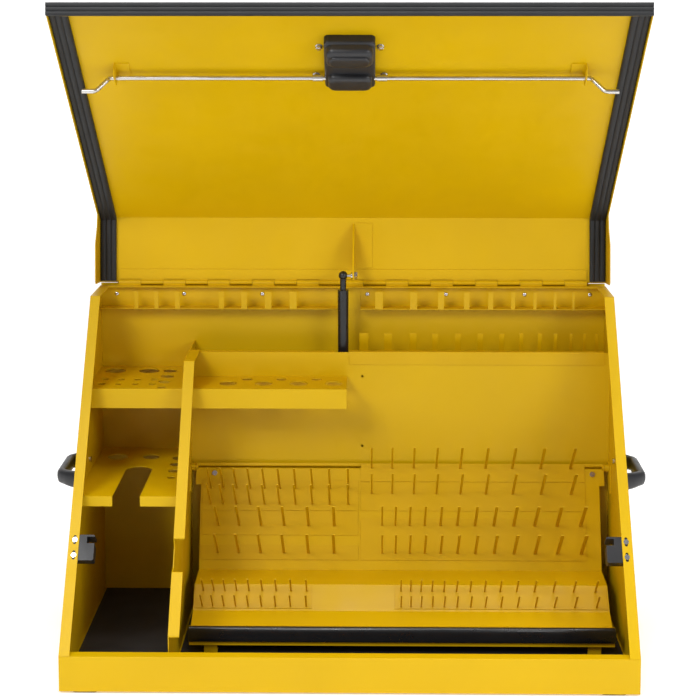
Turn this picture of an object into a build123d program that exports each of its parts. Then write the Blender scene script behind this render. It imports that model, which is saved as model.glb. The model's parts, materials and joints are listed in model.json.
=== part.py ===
from build123d import *
import os
from math import atan2, cos, degrees, radians, sin, sqrt, tan

# A slant-fronted sheet-steel tool chest with a folding lid, shown with the lid open.
# Millimetres. X runs left to right, Y from front to back, Z up. The origin is on the
# floor, under the middle of the base.

# ---- Driving dimensions -------------------------------------------------------------
width = 914.0          # outside of the two side panels
depth = 456.0          # front wall to back panel
height = 571.0         # floor to the flat top
lip_height = 60.0      # floor to the top of the front wall
slant_top = 347.0      # distance behind the front wall where the slant meets the flat top
steel = 1.5            # sheet thickness of the cabinet
flange = 17.0          # width of the in-turned flanges of the side panels
foot = 3.0             # thickness of the rubber feet
ledge = 20.0           # depth of the ledge on top of the front wall

divider_x = -287.0     # left face of the upright divider
divider_top = 470.0
inner_back = 375.0     # distance of the inner back panel behind the front wall
inner_back_top = 466.0

lid_width = 919.0
lid_gap = 8.7          # closed lid panel above the flanges it seals on
lid_open = 95.4        # degrees between closed and the open stop
seal_thick = 8.0
seal_wide = 28.0
front_seal_thick = 13.0
seal_air = 1.4         # closed front seal above the ledge
lid_flange = 20.0      # return flange along the free edge of the lid, level when closed

tray_left = -267.0
tray_right = 437.0

rod_radius = 3.75
rod_clear = 12.0       # rod centre to lid panel along the straight run
rod_end_clear = 38.0   # rod centre to lid panel at the offset ends

# ---- Derived frame ------------------------------------------------------------------
front = -depth / 2
floor_top = foot + steel
slope = atan2(height - lip_height, slant_top)
half = width / 2
inside = half - steel
lid_half = lid_width / 2
flange_low = lip_height + seal_air + front_seal_thick


def at(distance):
    """Y of a point this far behind the front wall."""
    return front + distance


hinge_y = at(depth) + 4.0
hinge_z = height + lid_gap - 4.2
barrel = 4.0
hinge_half = 424.0


def turned(y, z, angle):
    """A (Y, Z) direction turned about +X by an angle in degrees."""
    a = radians(angle)
    return (y * cos(a) - z * sin(a), y * sin(a) + z * cos(a))


def opened(y, z):
    """Where a point of the closed lid is when the lid stands open."""
    dy, dz = turned(y - hinge_y, z - hinge_z, -lid_open)
    return (hinge_y + dy, hinge_z + dz)


bend_y = at(slant_top) - lid_gap * tan(slope / 2)
rear_length = hinge_y - bend_y


def lid_s(z, n):
    """Place along the front lid panel of a point at height z when the lid is closed."""
    return (height + lid_gap - n * cos(slope) - z) / sin(slope)


lid_length = lid_s(flange_low + steel, 0)    # bend to the inside of the free corner
edge_y = bend_y - lid_length * cos(slope) - steel * (1 + cos(slope)) / sin(slope)

# The slanted opening of the cabinet: local y climbs the slant, local z points outwards.
slant = Plane(origin=(0, front, lip_height), x_dir=(1, 0, 0), z_dir=(0, -sin(slope), cos(slope)))

# The lid's two panels where they stand open. Local y runs from the bend to the free edge
# (lid_front) or from the hinge to the bend (lid_rear); local z points into the lid.
lid_front = Plane(
    origin=(0, *opened(bend_y, height + lid_gap)),
    x_dir=(1, 0, 0),
    z_dir=(0, *turned(sin(slope), -cos(slope), -lid_open)),
)
lid_rear = Plane(
    origin=(0, *opened(hinge_y, height + lid_gap)),
    x_dir=(1, 0, 0),
    z_dir=(0, *turned(0, -1, -lid_open)),
)


# ---- Shared shapes ------------------------------------------------------------------
def slab(low, high, mode=Mode.ADD):
    """A block between two opposite corners."""
    size = [b - a for a, b in zip(low, high)]
    with Locations(tuple(low)):
        Box(*size, align=(Align.MIN, Align.MIN, Align.MIN), mode=mode)


def prism(plane, points, amount, mode=Mode.ADD):
    """A straight prism on a closed outline."""
    with BuildSketch(plane) as outline:
        with BuildLine():
            Polyline(*points, close=True)
        make_face()
    extrude(outline.sketch, amount=amount, mode=mode)


def folded(points, thickness):
    """Outline of a sheet bent along a line of points; it lies on the left of the line."""
    offset_points = []
    for i, (x, y) in enumerate(points):
        before = points[max(i - 1, 0)]
        after = points[min(i + 1, len(points) - 1)]
        if i == 0:
            before = (2 * x - after[0], 2 * y - after[1])
        if i == len(points) - 1:
            after = (2 * x - before[0], 2 * y - before[1])
        d1 = (Vector(x, y) - Vector(*before)).normalized()
        d2 = (Vector(*after) - Vector(x, y)).normalized()
        n1 = Vector(-d1.Y, d1.X)
        n2 = Vector(-d2.Y, d2.X)
        mitre = (n1 + n2) * (thickness / (1 + n1.dot(n2)))
        offset_points.append((x + mitre.X, y + mitre.Y))
    return list(points) + offset_points[::-1]


def sheet(x0, x1, points, thickness=steel, mode=Mode.ADD):
    """A sheet bent along a (Y, Z) line, from X = x0 to X = x1."""
    prism(Plane.YZ.offset(x0), folded(points, thickness), x1 - x0, mode)


def drill(plane, centres, radius, amount):
    """Round holes through a sheet."""
    with BuildSketch(plane) as holes:
        with Locations(*centres):
            Circle(radius)
    extrude(holes.sketch, amount=amount, mode=Mode.SUBTRACT)


def dome_screws(plane, centres, radius, rise):
    """Round-headed screws standing on a plane."""
    for x, y in centres:
        with BuildSketch(plane.shift_origin(plane.from_local_coords((x, y, 0)))) as head:
            Circle(radius)
        extrude(head.sketch, amount=rise)


os.makedirs("parts", exist_ok=True)

# ---- Cabinet shell ------------------------------------------------------------------
with BuildPart() as base_pan:
    slab((-half, front, foot), (half, at(depth), floor_top))
    slab((-half, front, foot), (half, at(steel), lip_height))
    slab((-inside, front, lip_height - steel), (inside, at(ledge), lip_height))
    slab((-inside, at(ledge - steel), lip_height - 12), (inside, at(ledge), lip_height))
    front_edges = base_pan.edges().filter_by(Axis.X).group_by(Axis.Y)[0]
    fillet(front_edges, radius=1.2)
base_pan.part.label = "base_pan"
export_step(base_pan.part, "parts/base_pan.step")

web_outline = [
    (at(steel), floor_top),
    (at(steel), lip_height),
    (front, lip_height),
    (at(slant_top), height),
    (at(depth), height),
    (at(depth), floor_top),
]
rim_outline = [
    (front, lip_height),
    (at(slant_top), height),
    (at(depth - steel), height),
    (at(depth - steel), height - steel),
    (at(slant_top) + steel * tan(slope / 2), height - steel),
    (at(steel / sin(slope)), lip_height),
]
striker_middle = 174.0      # distance up the slant
screw_spacing = 25.0
screw_inset = 10.0          # screw centre inside the outer face of the side panel


def striker_screw_points(side):
    x = side * (half - screw_inset)
    return [(x, striker_middle - screw_spacing / 2), (x, striker_middle + screw_spacing / 2)]


def side_panel(side):
    """One side: web, in-turned rim and the slots that let the striker be adjusted."""
    outer = side * half
    prism(Plane.YZ.offset(outer), web_outline, -side * steel)
    prism(Plane.YZ.offset(outer), rim_outline, -side * flange)
    with BuildSketch(slant.offset(-steel - 0.5)) as slots:
        with Locations(*striker_screw_points(side)):
            SlotOverall(15, 5, rotation=90)
    extrude(slots.sketch, amount=steel + 1, mode=Mode.SUBTRACT)


with BuildPart() as side_panel_left:
    side_panel(-1)
side_panel_left.part.label = "side_panel_left"
export_step(side_panel_left.part, "parts/side_panel_left.step")

with BuildPart() as side_panel_right:
    side_panel(1)
side_panel_right.part.label = "side_panel_right"
export_step(side_panel_right.part, "parts/side_panel_right.step")

with BuildPart() as back_panel:
    slab((-inside, at(depth - steel), floor_top), (inside, at(depth), height - steel))
    slab((-half + flange, at(depth - steel), height - steel), (half - flange, at(depth), height))
    slab((-half + flange, at(depth - 15), height - steel), (half - flange, at(depth - steel), height))
back_panel.part.label = "back_panel"
export_step(back_panel.part, "parts/back_panel.step")

foot_long = 60.0
with BuildPart() as rubber_feet:
    for x in (-half + 40, 0, half - 40):
        for y in (at(35), 0, at(depth - 35)):
            if (x == 0) == (y == 0):
                slab((x - 20, y - foot_long / 2, 0), (x + 20, y + foot_long / 2, foot))
    outer_edges = rubber_feet.edges().filter_by(Axis.Z)
    fillet(outer_edges, radius=6)
rubber_feet.part.label = "rubber_feet"
export_step(rubber_feet.part, "parts/rubber_feet.step")

# ---- Inner walls --------------------------------------------------------------------
divider_right = divider_x + steel
divider_flange = 16.5
divider_set_back = 3.6      # front edge of the divider behind the plane of the flanges
notch_low, notch_high = 131.0, 194.0
notch_deep = 16.0


def slant_y(z, set_back=0.0):
    """Y of the slanted opening at height z, moved back square to the slant."""
    return at((z - lip_height) / tan(slope) + set_back / sin(slope))


with BuildPart() as divider_panel:
    nose_y = at(ledge + 2)
    nose_z = lip_height + (ledge + 2 - divider_set_back / sin(slope)) * tan(slope)
    edge = [
        (nose_y, floor_top),
        (nose_y, nose_z),
        (slant_y(divider_top, divider_set_back), divider_top),
        (at(depth - steel), divider_top),
        (at(depth - steel), floor_top),
    ]
    prism(Plane.YZ.offset(divider_x), edge, steel)
    rim = [
        (nose_y, nose_z),
        (slant_y(divider_top, divider_set_back), divider_top),
        (at(inner_back), divider_top),
        (at(inner_back), divider_top - steel),
        (slant_y(divider_top, divider_set_back) + steel * tan(slope / 2), divider_top - steel),
        (nose_y, nose_z - steel / cos(slope)),
    ]
    prism(Plane.YZ.offset(divider_x), rim, divider_flange + steel)
    with BuildSketch(Plane.YZ.offset(divider_x - 1)) as notch:
        with BuildLine():
            corners = [(notch_low, 1), (notch_high, 1)]
            corners += [(notch_high - 14, -notch_deep), (notch_low + 14, -notch_deep)]
            Polyline(
                *[(slant.from_local_coords((0, s, n)).Y, slant.from_local_coords((0, s, n)).Z)
                  for s, n in corners],
                close=True,
            )
        make_face()
    extrude(notch.sketch, amount=divider_flange + 3, mode=Mode.SUBTRACT)
divider_panel.part.label = "divider_panel"
export_step(divider_panel.part, "parts/divider_panel.step")

inner_hole_x = 18.4
with BuildPart() as inner_back_panel:
    y0 = at(inner_back)
    slab((divider_right, y0, floor_top), (inside, y0 + steel, inner_back_top))
    slab((divider_right, y0, inner_back_top - steel), (-30, y0 + 12, inner_back_top))
    drill(Plane.XZ.offset(-y0 + 1), [(inner_hole_x, 423), (inner_hole_x, 297)], 2.2, -4)
inner_back_panel.part.label = "inner_back_panel"
export_step(inner_back_panel.part, "parts/inner_back_panel.step")

# ---- Shelves ------------------------------------------------------------------------
shelf_top = 422.0
shelf_front = 280.0
shelf_lip = 34.0


def shelf(x0, x1, y_front, y_back, top, lip):
    """A flat shelf with a turned-down front edge."""
    line = [(at(y_back), top - steel), (at(y_front) + steel, top - steel), (at(y_front) + steel, top - lip)]
    sheet(x0, x1, line[::-1], steel)


with BuildPart() as socket_shelf:
    shelf(-inside, divider_x, shelf_front, depth - steel, shelf_top, shelf_lip)
    top_plane = Plane.XY.offset(shelf_top + 1)
    drill(top_plane, [(-426, at(418)), (-365, at(418))], 18.5, -4)
    drill(top_plane, [(x, at(y)) for x in (-434, -405, -376, -346) for y in (316, 350)], 6.5, -4)
    for y, radius in ((292, 7.5), (333, 10.5), (375, 12), (418, 12.5)):
        drill(top_plane, [(-327, at(y))], radius, -4)
socket_shelf.part.label = "socket_shelf"
export_step(socket_shelf.part, "parts/socket_shelf.step")

with BuildPart() as bit_shelf:
    shelf(divider_right, -8, shelf_front, inner_back, shelf_top, shelf_lip)
    drill(Plane.XY.offset(shelf_top + 1), [(x, at(323)) for x in (-215, -153, -92, -31)], 15.75, -4)
    drill(Plane.XY.offset(shelf_top + 1), [(x, at(355)) for x in (-184, -124, -62)], 10, -4)
bit_shelf.part.label = "bit_shelf"
export_step(bit_shelf.part, "parts/bit_shelf.step")

drill_shelf_top = 270.0
drill_shelf_front = 158.0
slot_x = -371.0
slot_width = 46.0
slot_back = 335.0
with BuildPart() as drill_shelf:
    shelf(-inside, divider_x, drill_shelf_front, depth - steel, drill_shelf_top, 17)
    left, right = slot_x - slot_width / 2, slot_x + slot_width / 2
    slab(
        (left, at(drill_shelf_front - 2), drill_shelf_top - 20),
        (right, at(slot_back - slot_width / 2), drill_shelf_top + 1),
        Mode.SUBTRACT,
    )
    top_plane = Plane.XY.offset(drill_shelf_top + 1)
    drill(top_plane, [(slot_x, at(slot_back - slot_width / 2))], slot_width / 2, -4)
    drill(top_plane, [(-420, at(395))], 18.5, -4)
    drill(top_plane, [(-360, at(395))], 15, -4)
    for y, radius in ((268, 7.5), (308, 10.5), (348, 12), (388, 12.5)):
        drill(top_plane, [(-309, at(y))], radius, -4)
drill_shelf.part.label = "drill_shelf"
export_step(drill_shelf.part, "parts/drill_shelf.step")

with BuildPart() as floor_mat_left:
    slab((-inside + 3, at(ledge + 4), floor_top), (divider_x - 3, at(depth - 6), floor_top + 2.5))
floor_mat_left.part.label = "floor_mat_left"
export_step(floor_mat_left.part, "parts/floor_mat_left.step")

with BuildPart() as floor_mat_main:
    slab((divider_right + 3, at(ledge + 4), floor_top), (inside - 3, at(inner_back - 4), floor_top + 2.5))
floor_mat_main.part.label = "floor_mat_main"
export_step(floor_mat_main.part, "parts/floor_mat_main.step")

# ---- Comb racks on the back panel ---------------------------------------------------
rack_steel = 1.2
rack_low, rack_high = 533.0, 567.0
rack_reach = 28.0
strut_gap_left, strut_gap_right = -27.0, 15.0


def comb_rack(x0, x1, fingers):
    """A J-shaped strip on the back panel with forward-leaning fingers along its edge."""
    wall = at(depth - steel)
    line = [(wall - rack_reach, rack_low), (wall, rack_low), (wall, rack_high)]
    sheet(x0, x1, line, rack_steel)
    lip_y = wall - rack_reach
    for x, wide in fingers:
        outline = folded([(lip_y + rack_steel, rack_low), (lip_y - 5, rack_high - 1)], rack_steel)
        prism(Plane.YZ.offset(x - wide / 2), outline, wide)


left_fingers = [(-388, 7), (-352, 7.5), (-314, 8), (-235, 9.5), (-194, 10.5), (-151, 12), (-106, 13)]
right_fingers = [(48, 14), (110, 12.5), (159, 11), (205, 10), (248, 9)]
right_fingers += [(288, 7.5), (327, 6), (363, 5), (396, 4.5)]
with BuildPart() as comb_rack_left:
    comb_rack(-inside, strut_gap_left, left_fingers)
comb_rack_left.part.label = "comb_rack_left"
export_step(comb_rack_left.part, "parts/comb_rack_left.step")

with BuildPart() as comb_rack_right:
    comb_rack(strut_gap_right, inside, right_fingers)
comb_rack_right.part.label = "comb_rack_right"
export_step(comb_rack_right.part, "parts/comb_rack_right.step")

rack_screws_x = [-427, -305, -163, 27, 169, 311, 429]
with BuildPart() as comb_rack_screws:
    face = Plane(origin=(0, at(depth - steel) - rack_steel, 0), x_dir=(1, 0, 0), z_dir=(0, -1, 0))
    dome_screws(face, [(x, 556) for x in rack_screws_x], 4, 2.4)
    heads = comb_rack_screws.edges().filter_by(GeomType.CIRCLE).group_by(Axis.Y)[0]
    fillet(heads, radius=1.8)
comb_rack_screws.part.label = "comb_rack_screws"
export_step(comb_rack_screws.part, "parts/comb_rack_screws.step")

# ---- Tab rack behind the inner back panel -------------------------------------------
tab_rack_left = -5.0
tab_rack_right = 446.0
tabs = [(21, 16), (64, 14), (109, 12.5), (148, 10.7), (189, 10.3), (229, 9.8), (267, 9)]
tabs += [(302, 7), (335, 7), (363, 6), (391, 5.5), (415, 5.4), (436, 5.4)]
with BuildPart() as tab_rack:
    y0 = at(inner_back)
    hook = [(y0 + 50, 440), (y0 + 14, 440), (y0 + 8, inner_back_top), (y0, inner_back_top), (y0, 444)]
    sheet(tab_rack_left, tab_rack_right, hook[::-1], rack_steel)
    for x, wide in tabs:
        outline = folded([(y0 + 48, 439.5), (y0 + 34, 494)], rack_steel)
        prism(Plane.YZ.offset(x - wide / 2), outline, wide)
tab_rack.part.label = "tab_rack"
export_step(tab_rack.part, "parts/tab_rack.step")

# ---- Strikers behind the slanted flanges --------------------------------------------
rod_s = 440.0                       # latch rods, distance from the lid's bend
rod_tip = 425.0                     # X of the rod ends with the latch released
hinge_point = Vector(0, hinge_y, hinge_z)
rod_end_point = lid_front.from_local_coords((0, rod_s, rod_end_clear))
rod_swing = (rod_end_point - hinge_point).length
striker_deep = 22.0


def striker(side):
    """A block under the flange, grooved so that a drawn-in rod end swings past it."""
    with BuildSketch(slant.offset(-steel)) as block:
        with Locations((side * (415 + inside) / 2, striker_middle)):
            RectangleRounded(inside - 415, 42, 3)
    extrude(block.sketch, amount=-striker_deep)
    with BuildSketch(Plane.YZ.offset(side * 405)) as groove:
        with Locations((hinge_y, hinge_z)):
            Circle(rod_swing + rod_radius + 1.5)
            Circle(rod_swing - rod_radius - 1.5, mode=Mode.SUBTRACT)
    extrude(groove.sketch, amount=side * (rod_tip + 2.5 - 405), mode=Mode.SUBTRACT)


with BuildPart() as striker_left:
    striker(-1)
striker_left.part.label = "striker_left"
export_step(striker_left.part, "parts/striker_left.step")

with BuildPart() as striker_right:
    striker(1)
striker_right.part.label = "striker_right"
export_step(striker_right.part, "parts/striker_right.step")

with BuildPart() as striker_screws:
    dome_screws(slant, striker_screw_points(-1) + striker_screw_points(1), 4.2, 0.5)
striker_screws.part.label = "striker_screws"
export_step(striker_screws.part, "parts/striker_screws.step")

# ---- Wrench tray --------------------------------------------------------------------
pivot_y, pivot_z = at(362), 262.0
tray_line = [
    (at(365.5), 268),
    (at(306), 94),
    (at(239), 92),
    (at(203), 59),
    (at(172), 46),
    (at(139), 46),
]
ear_reach = 9.0
ear_low = 232.0
pin_radius = 3.0


def on_plate(z):
    """Y of the upper tray plate at height z."""
    (y_top, z_top), (y_low, z_low) = tray_line[0], tray_line[1]
    return y_low + (y_top - y_low) * (z - z_low) / (z_top - z_low)


with BuildPart() as tray_plate:
    sheet(tray_left, tray_right, tray_line, steel)
    slab((tray_left, at(139), 24), (tray_right, at(139) + steel, 57))
    ear = [(on_plate(ear_low), ear_low), (on_plate(268), 268)]
    sheet(tray_left - ear_reach, tray_right + ear_reach, ear[::-1], steel)
    for x in (tray_left - ear_reach, tray_right + ear_reach - steel):
        with BuildSketch(Plane.YZ.offset(x)) as lug:
            with Locations((pivot_y, pivot_z)):
                Circle(7)
        extrude(lug.sketch, amount=steel)
    with BuildSketch(Plane.YZ.offset(tray_left - ear_reach - 1)) as bore:
        with Locations((pivot_y, pivot_z)):
            Circle(pin_radius + 0.08)
    extrude(bore.sketch, amount=tray_right - tray_left + 2 * ear_reach + 2, mode=Mode.SUBTRACT)
tray_plate.part.label = "tray_plate"
export_step(tray_plate.part, "parts/tray_plate.step")

pin_thick = 1.8
pin_tilt = 38.0             # degrees above horizontal
short_tilt = 42.0


def graded(start, first_gap, growth, count):
    """Places along a row whose gaps grow steadily."""
    places = [start]
    for i in range(count - 1):
        places.append(places[-1] + first_gap * growth**i)
    return places


def pin_row(xs, root, tilt, length, first_width, last_width):
    """A row of flat fingers leaning forwards and up, from one (Y, Z) root line."""
    a = radians(180 - tilt)
    y0, z0 = root[0] + 0.5 * cos(a), root[1] + 0.5 * sin(a)
    y1, z1 = root[0] + length * cos(a), root[1] + length * sin(a)
    up_y, up_z = -sin(a) * pin_thick / 2, cos(a) * pin_thick / 2
    outline = [
        (y0 - up_y, z0 - up_z),
        (y1 - up_y, z1 - up_z),
        (y1 + up_y, z1 + up_z),
        (y0 + up_y, z0 + up_z),
    ]
    for i, x in enumerate(xs):
        wide = first_width + (last_width - first_width) * i / (len(xs) - 1)
        prism(Plane.YZ.offset(x - wide / 2), outline, wide)


def upper_row(xs, z, length, first_width, last_width):
    """A row of long fingers on the upper plate of the tray."""
    pin_row(xs, (on_plate(z), z), pin_tilt, length, first_width, last_width)


def pin_strip(x0, x1, z_low, z_high):
    """The thin strip that a row of fingers is cut from, lying on the upper plate."""
    outline = folded([(on_plate(z_high), z_high), (on_plate(z_low), z_low)], -rack_steel)
    prism(Plane.YZ.offset(x0), outline, x1 - x0)


def on_facet(distance):
    """(Y, Z) of a point on the lower sloping facet, this far behind the front wall."""
    (y_high, z_high), (y_low, z_low) = tray_line[2], tray_line[3]
    share = (at(distance) - y_low) / (y_high - y_low)
    return (at(distance), z_low + (z_high - z_low) * share)


def short_pins(x0, x1, xs, last_width):
    """A strip on the lower facet with two rows of short fingers."""
    prism(Plane.YZ.offset(x0), folded([on_facet(236), on_facet(206)], -rack_steel), x1 - x0)
    for distance in (230, 209):
        pin_row(xs, on_facet(distance), short_tilt, 50, 2.4, last_width)


with BuildPart() as wrench_pins_left:
    strip = (-264, 12)
    pin_strip(*strip, 190, 240)
    pin_strip(*strip, 150, 189)
    pin_strip(*strip, 110, 134)
    for z in (226, 200):
        upper_row(graded(-248.5, 22, 1.05, 10), z, 95, 2.8, 3.6)
    for z in (165, 121):
        upper_row(graded(-234, 36.5, 1.055, 6), z, 95, 3.6, 5)
wrench_pins_left.part.label = "wrench_pins_left"
export_step(wrench_pins_left.part, "parts/wrench_pins_left.step")

with BuildPart() as wrench_pins_right:
    strip = (16, 412)
    pin_strip(*strip, 238, 267)
    pin_strip(*strip, 190, 237)
    pin_strip(*strip, 110, 178)
    for z in (260, 218):
        upper_row(graded(35.4, 36, 1.056, 9), z, 95, 2.8, 5)
    for z in (166, 121):
        upper_row(graded(53.6, 23.5, 1.058, 12), z, 95, 2.8, 6)
wrench_pins_right.part.label = "wrench_pins_right"
export_step(wrench_pins_right.part, "parts/wrench_pins_right.step")

with BuildPart() as short_pins_left:
    short_pins(-264, -66, graded(-251.4, 17.8, 1.06, 9), 2.8)
short_pins_left.part.label = "short_pins_left"
export_step(short_pins_left.part, "parts/short_pins_left.step")

with BuildPart() as short_pins_right:
    short_pins(74, 434, graded(85.3, 16.5, 1.069, 14), 3)
short_pins_right.part.label = "short_pins_right"
export_step(short_pins_right.part, "parts/short_pins_right.step")

with BuildPart() as tray_trim:
    slab((tray_left - 1, at(139) - 8, 31), (tray_right + 1, at(139), 57))
    long_edges = tray_trim.edges().filter_by(Axis.X).group_by(Axis.Y)[0]
    fillet(long_edges, radius=5)
tray_trim.part.label = "tray_trim"
export_step(tray_trim.part, "parts/tray_trim.step")

bracket_t = 2.0
bracket_gap = 0.5


def tray_bracket(wall_x, side):
    """A pivot plate on the wall; its stub carries one ear of the tray."""
    ear_x = tray_right + ear_reach if side > 0 else tray_left - ear_reach
    with BuildSketch(Plane.YZ.offset(wall_x)) as plate:
        with Locations((at(356), 246)):
            RectangleRounded(32, 50, 4)
    extrude(plate.sketch, amount=-side * bracket_t)
    with BuildSketch(Plane.YZ.offset(wall_x - side * bracket_t)) as boss:
        with Locations((pivot_y, pivot_z)):
            Circle(6)
    extrude(boss.sketch, amount=-side * (abs(wall_x - ear_x) - bracket_t - bracket_gap))
    with BuildSketch(Plane.YZ.offset(wall_x - side * bracket_t)) as stub:
        with Locations((pivot_y, pivot_z)):
            Circle(pin_radius)
    extrude(stub.sketch, amount=-side * (abs(wall_x - ear_x) - bracket_t + steel + 2))


with BuildPart() as tray_bracket_left:
    tray_bracket(divider_right, -1)
tray_bracket_left.part.label = "tray_bracket_left"
export_step(tray_bracket_left.part, "parts/tray_bracket_left.step")

with BuildPart() as tray_bracket_right:
    tray_bracket(inside, 1)
tray_bracket_right.part.label = "tray_bracket_right"
export_step(tray_bracket_right.part, "parts/tray_bracket_right.step")

with BuildPart() as tray_screws:
    lean = degrees(atan2(tray_line[0][1] - tray_line[1][1], tray_line[0][0] - tray_line[1][0]))
    normal = (0, -sin(radians(lean)), cos(radians(lean)))
    seat = Plane(origin=(0, on_plate(251), 251), x_dir=(1, 0, 0), z_dir=normal)
    dome_screws(seat, [(-243, 0), (425, 0)], 4.5, 2.6)
tray_screws.part.label = "tray_screws"
export_step(tray_screws.part, "parts/tray_screws.step")

rest_high = 41.0
bumper_thick = 3.5


def tray_rest(x):
    """An angle post on the floor that carries the front of the tray."""
    slab((x - 11, at(150), floor_top + 2.5), (x + 11, at(152), rest_high))
    slab((x - 11, at(150), floor_top + 2.5), (x + 11, at(168), floor_top + 4.5))


def tray_bumper(x):
    slab((x - 11, at(148), rest_high), (x + 11, at(158), rest_high + bumper_thick))


with BuildPart() as tray_rest_left:
    tray_rest(-232)
tray_rest_left.part.label = "tray_rest_left"
export_step(tray_rest_left.part, "parts/tray_rest_left.step")

with BuildPart() as tray_rest_right:
    tray_rest(405)
tray_rest_right.part.label = "tray_rest_right"
export_step(tray_rest_right.part, "parts/tray_rest_right.step")

with BuildPart() as tray_bumper_left:
    tray_bumper(-232)
tray_bumper_left.part.label = "tray_bumper_left"
export_step(tray_bumper_left.part, "parts/tray_bumper_left.step")

with BuildPart() as tray_bumper_right:
    tray_bumper(405)
tray_bumper_right.part.label = "tray_bumper_right"
export_step(tray_bumper_right.part, "parts/tray_bumper_right.step")

# ---- Side handles -------------------------------------------------------------------
handle_front, handle_back = 175.0, 320.0
handle_z = 291.0
handle_reach = 38.0


def handle(side):
    """A moulded pull handle: two feet joined by a bowed grip."""
    x0 = side * half
    path = [
        (x0, at(handle_front)),
        (x0 + side * handle_reach * 0.72, at(handle_front + 10)),
        (x0 + side * handle_reach, at(handle_front + 40)),
        (x0 + side * handle_reach, at(handle_back - 40)),
        (x0 + side * handle_reach * 0.72, at(handle_back - 10)),
        (x0, at(handle_back)),
        (x0, at(handle_back - 30)),
        (x0 + side * (handle_reach - 14), at(handle_back - 48)),
        (x0 + side * (handle_reach - 14), at(handle_front + 48)),
        (x0, at(handle_front + 30)),
    ]
    prism(Plane.XY.offset(handle_z - 14), path, 28)


with BuildPart() as handle_left:
    handle(-1)
    fillet(handle_left.edges().filter_by(Axis.Z).group_by(Axis.X)[0], radius=10)
handle_left.part.label = "handle_left"
export_step(handle_left.part, "parts/handle_left.step")

with BuildPart() as handle_right:
    handle(1)
    fillet(handle_right.edges().filter_by(Axis.Z).group_by(Axis.X)[-1], radius=10)
handle_right.part.label = "handle_right"
export_step(handle_right.part, "parts/handle_right.step")

with BuildPart() as handle_screws:
    for side in (-1, 1):
        face = Plane(origin=(side * inside, 0, 0), x_dir=(0, -side, 0), z_dir=(-side, 0, 0))
        centres = [(-side * at(y), handle_z) for y in (handle_front + 15, handle_back - 15)]
        dome_screws(face, centres, 5, 3)
handle_screws.part.label = "handle_screws"
export_step(handle_screws.part, "parts/handle_screws.step")

# ---- Lid hinge ----------------------------------------------------------------------
knuckles = 21
knuckle_gap = 0.6
knuckle_long = 2 * hinge_half / knuckles
hinge_pin_radius = 1.95


def knuckle_x(i):
    return -hinge_half + i * knuckle_long + knuckle_gap / 2


def barrel_piece(i, mode=Mode.ADD, radius=barrel):
    with BuildSketch(Plane.YZ.offset(knuckle_x(i))) as ring:
        with Locations((hinge_y, hinge_z)):
            Circle(radius)
    extrude(ring.sketch, amount=knuckle_long - knuckle_gap, mode=mode)


def pin_bore():
    with BuildSketch(Plane.YZ.offset(-hinge_half - 1)) as bore:
        with Locations((hinge_y, hinge_z)):
            Circle(2.0)
    extrude(bore.sketch, amount=2 * hinge_half + 2, mode=Mode.SUBTRACT)


with BuildPart() as hinge_leaf_body:
    slab((-hinge_half, at(depth), height - 34), (hinge_half, at(depth) + steel, height - 2))
    for i in range(0, knuckles, 2):
        x = knuckle_x(i)
        slab((x, at(depth), height - 4), (x + knuckle_long - knuckle_gap, at(depth) + steel, hinge_z))
        barrel_piece(i)
    pin_bore()
hinge_leaf_body.part.label = "hinge_leaf_body"
export_step(hinge_leaf_body.part, "parts/hinge_leaf_body.step")

with BuildPart() as hinge_leaf_lid:
    leaf_long = 24.0
    strip = [(-hinge_half, 6), (hinge_half, 6), (hinge_half, leaf_long), (-hinge_half, leaf_long)]
    prism(lid_rear, strip, steel)
    for i in range(1, knuckles, 2):
        x = knuckle_x(i)
        end = x + knuckle_long - knuckle_gap
        prism(lid_rear, [(x, 0), (end, 0), (end, 8), (x, 8)], steel)
        barrel_piece(i)
    pin_bore()
hinge_leaf_lid.part.label = "hinge_leaf_lid"
export_step(hinge_leaf_lid.part, "parts/hinge_leaf_lid.step")

with BuildPart() as hinge_pin:
    with BuildSketch(Plane.YZ.offset(-hinge_half - 2)) as pin:
        with Locations((hinge_y, hinge_z)):
            Circle(hinge_pin_radius)
    extrude(pin.sketch, amount=2 * hinge_half + 4)
hinge_pin.part.label = "hinge_pin"
export_step(hinge_pin.part, "parts/hinge_pin.step")

# ---- Lid ----------------------------------------------------------------------------
flange_half = half - flange - 2     # the flange passes between the two side rims
side_skirt_front = 12.5
hem = 2.4                   # folded edge at the two ends of the flange
side_skirt_rear = 54.0
latch_s = 480.0
latch_opening = (70.0, 92.0)


def yz(plane, s, n):
    """(Y, Z) of a point given by its place along and into a lid panel."""
    p = plane.from_local_coords((0, s, n))
    return (p.Y, p.Z)


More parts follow.
